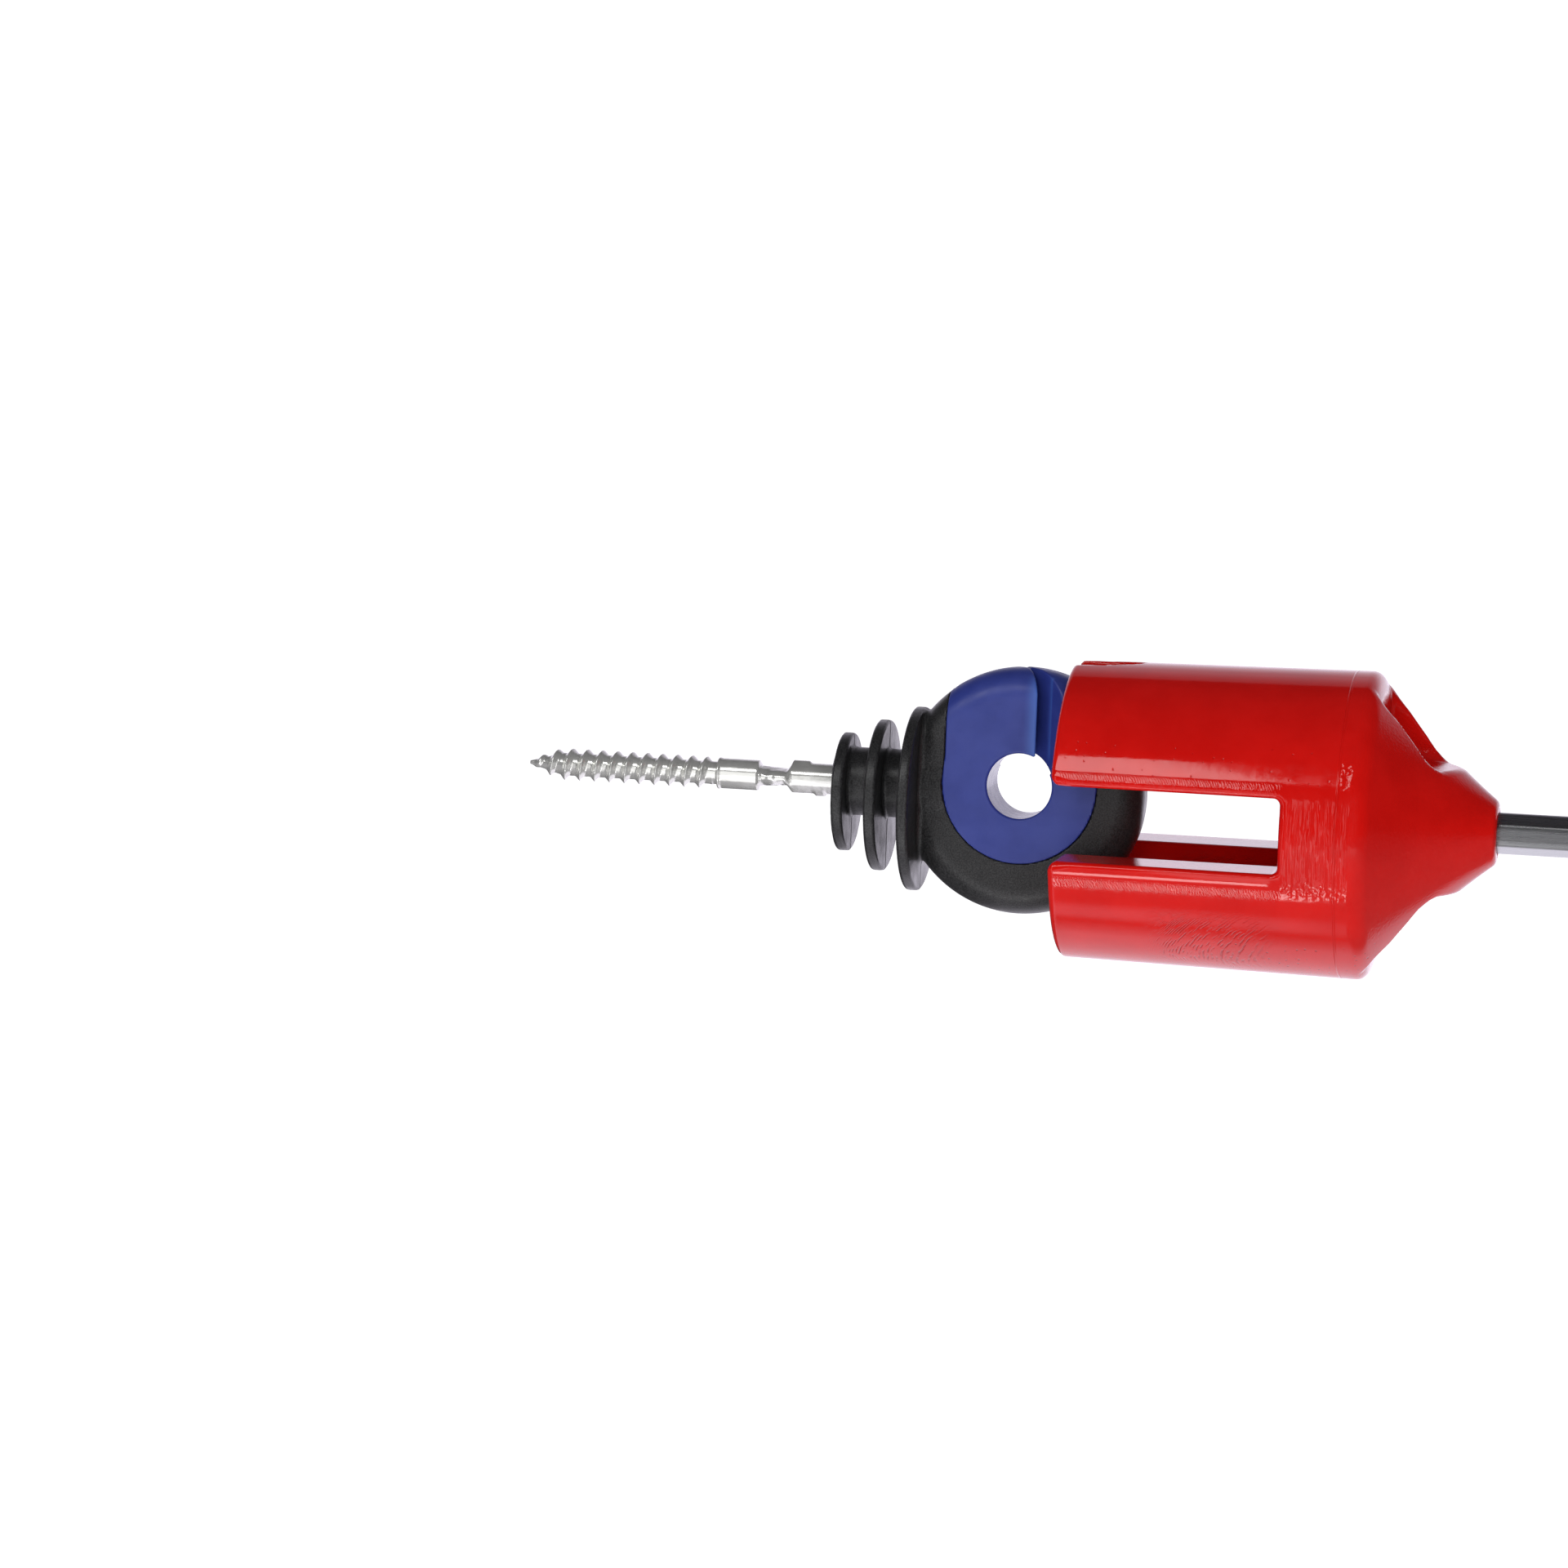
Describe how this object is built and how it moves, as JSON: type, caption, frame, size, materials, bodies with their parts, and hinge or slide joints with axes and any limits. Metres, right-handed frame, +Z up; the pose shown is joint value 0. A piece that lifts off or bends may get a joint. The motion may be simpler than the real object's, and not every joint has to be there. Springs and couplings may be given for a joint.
{
  "type": "fence insulator",
  "caption": "Screw-in ring insulator for electric fence rope, with rain sheds, a lapped slit in its wear insert, and a slip-on driver that turns it into a post.",
  "frame": {"origin": "on the shank's axis at the face of the post, where the shank's shoulder stops", "axes": "+X along the shank, away from the post; +Y along the fence rope; +Z up, through the slit"},
  "size_m": [0.199, 0.0532, 0.053],
  "materials": {
    "zinc_steel": "bright zinc plated",
    "black_plastic": "fine matte texture",
    "blue_plastic": "satin",
    "red_plastic": "gloss with flow marks",
    "hex_steel": "bright drawn"
  },
  "bodies": {
    "insulator": {"shank": "zinc_steel", "insulator_body": "black_plastic", "wear_insert": "blue_plastic"},
    "driver": {"driver_body": "red_plastic", "drive_shank": "hex_steel"}
  },
  "joints": [
    {"name": "driver_slide", "type": "slide", "parent": "insulator", "child": "driver", "axis": [1, 0, 0], "range_m": [-0.0255, 0.06]}
  ]
}
